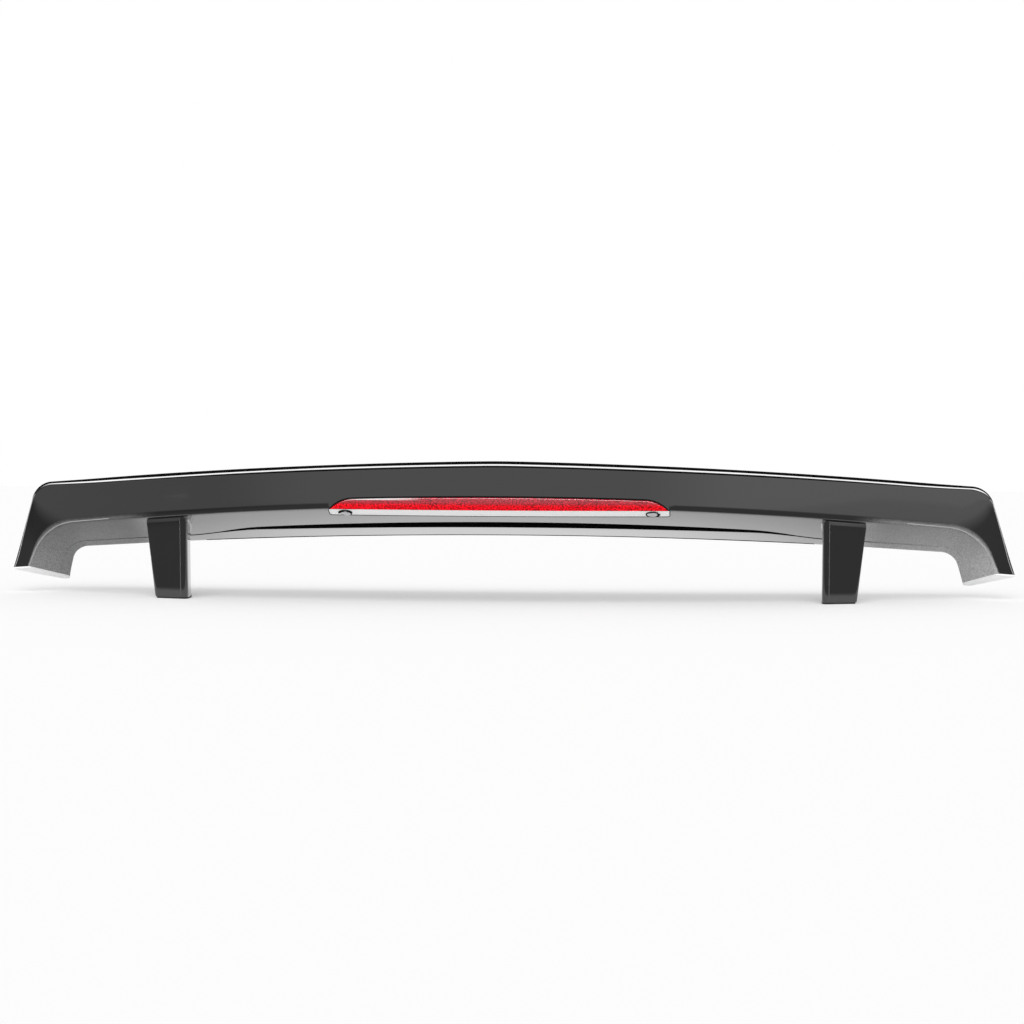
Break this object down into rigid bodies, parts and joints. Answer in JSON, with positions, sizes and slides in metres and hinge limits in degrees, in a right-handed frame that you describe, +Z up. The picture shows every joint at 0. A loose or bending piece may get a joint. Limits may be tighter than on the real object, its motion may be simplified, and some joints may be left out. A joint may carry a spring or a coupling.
{
  "type": "car rear spoiler",
  "caption": "Arched car wing that turns down into a fin at each end and stands on tapered posts, with a long stop lamp in the middle of its rear edge.",
  "frame": {"origin": "middle of the part in plan, on the plane that the pads of the two posts stand on", "axes": "+X to the right seen from behind the car, +Y towards the front of the car, +Z up"},
  "size_m": [1.4024, 0.2584, 0.1933],
  "materials": {
    "gloss_black": "gloss black paint over moulded plastic",
    "lens_red": "clear red moulded plastic, fine grain on its inner face",
    "black_rubber": "dull black",
    "white_plastic": "smooth white",
    "bright_metal": "vacuum-metallised",
    "board_green": "solder-mask green",
    "diode_red": "tinted clear resin",
    "zinc": "zinc plated",
    "nylon": "natural nylon",
    "brass": "plain brass",
    "black_foam": "closed-cell foam, black",
    "pale_foam": "closed-cell foam, off-white"
  },
  "bodies": {
    "root": {"spoiler_body": "gloss_black", "lamp_lens": "lens_red", "lamp_gasket": "black_rubber", "lamp_housing": "white_plastic", "lamp_reflector": "bright_metal", "led_board": "board_green", "leds": "diode_red", "lamp_screw_left": "zinc", "lamp_screw_right": "zinc", "lamp_washer_left": "black_rubber", "lamp_washer_right": "black_rubber", "screw_anchor_left": "nylon", "screw_anchor_right": "nylon", "wire_grommet": "black_rubber", "post_inserts_left": "brass", "post_inserts_right": "brass", "fin_insert_left": "brass", "fin_insert_right": "brass", "post_pad_left": "black_foam", "post_pad_right": "black_foam", "fin_pad_left": "pale_foam", "fin_pad_right": "pale_foam"}
  },
  "joints": []
}
